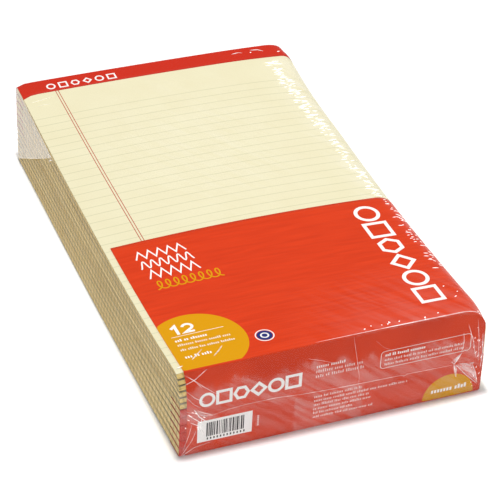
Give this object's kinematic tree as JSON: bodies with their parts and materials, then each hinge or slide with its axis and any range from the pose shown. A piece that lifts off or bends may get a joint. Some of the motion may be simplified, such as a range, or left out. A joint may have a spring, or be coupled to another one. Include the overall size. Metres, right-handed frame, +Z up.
{
  "type": "shrink-wrapped pack of legal pads",
  "caption": "Stack of legal-size ruled writing pads, each stapled and tape-bound at its head, with a folded red card over one end and clear shrink film round the whole.",
  "frame": {"origin": "middle of the pack's underside, on the surface it lies on", "axes": "+Y along the length towards the bound head of the top pad, +X to the right of someone reading the top pad, +Z up through the stack"},
  "size_m": [0.2172, 0.3579, 0.0725],
  "materials": {
    "canary_paper": "matte",
    "chipboard": "matte",
    "red_binding_tape": "satin",
    "steel_wire": "bright",
    "red_printed_card": "satin",
    "clear_film": "glossy"
  },
  "bodies": {
    "root": {"pad_01_sheets": "canary_paper", "pad_01_backing_board": "chipboard", "pad_01_binding": "red_binding_tape", "pad_01_staples": "steel_wire", "pad_02_sheets": "canary_paper", "pad_02_backing_board": "chipboard", "pad_02_binding": "red_binding_tape", "pad_02_staples": "steel_wire", "pad_03_sheets": "canary_paper", "pad_03_backing_board": "chipboard", "pad_03_binding": "red_binding_tape", "pad_03_staples": "steel_wire", "pad_04_sheets": "canary_paper", "pad_04_backing_board": "chipboard", "pad_04_binding": "red_binding_tape", "pad_04_staples": "steel_wire", "pad_05_sheets": "canary_paper", "pad_05_backing_board": "chipboard", "pad_05_binding": "red_binding_tape", "pad_05_staples": "steel_wire", "pad_06_sheets": "canary_paper", "pad_06_backing_board": "chipboard", "pad_06_binding": "red_binding_tape", "pad_06_staples": "steel_wire", "pad_07_sheets": "canary_paper", "pad_07_backing_board": "chipboard", "pad_07_binding": "red_binding_tape", "pad_07_staples": "steel_wire", "pad_08_sheets": "canary_paper", "pad_08_backing_board": "chipboard", "pad_08_binding": "red_binding_tape", "pad_08_staples": "steel_wire", "pad_09_sheets": "canary_paper", "pad_09_backing_board": "chipboard", "pad_09_binding": "red_binding_tape", "pad_09_staples": "steel_wire", "pad_10_sheets": "canary_paper", "pad_10_backing_board": "chipboard", "pad_10_binding": "red_binding_tape", "pad_10_staples": "steel_wire", "pad_11_sheets": "canary_paper", "pad_11_backing_board": "chipboard", "pad_11_binding": "red_binding_tape", "pad_11_staples": "steel_wire", "pad_12_sheets": "canary_paper", "pad_12_backing_board": "chipboard", "pad_12_binding": "red_binding_tape", "pad_12_staples": "steel_wire", "label_card": "red_printed_card", "shrink_film": "clear_film"}
  },
  "joints": []
}
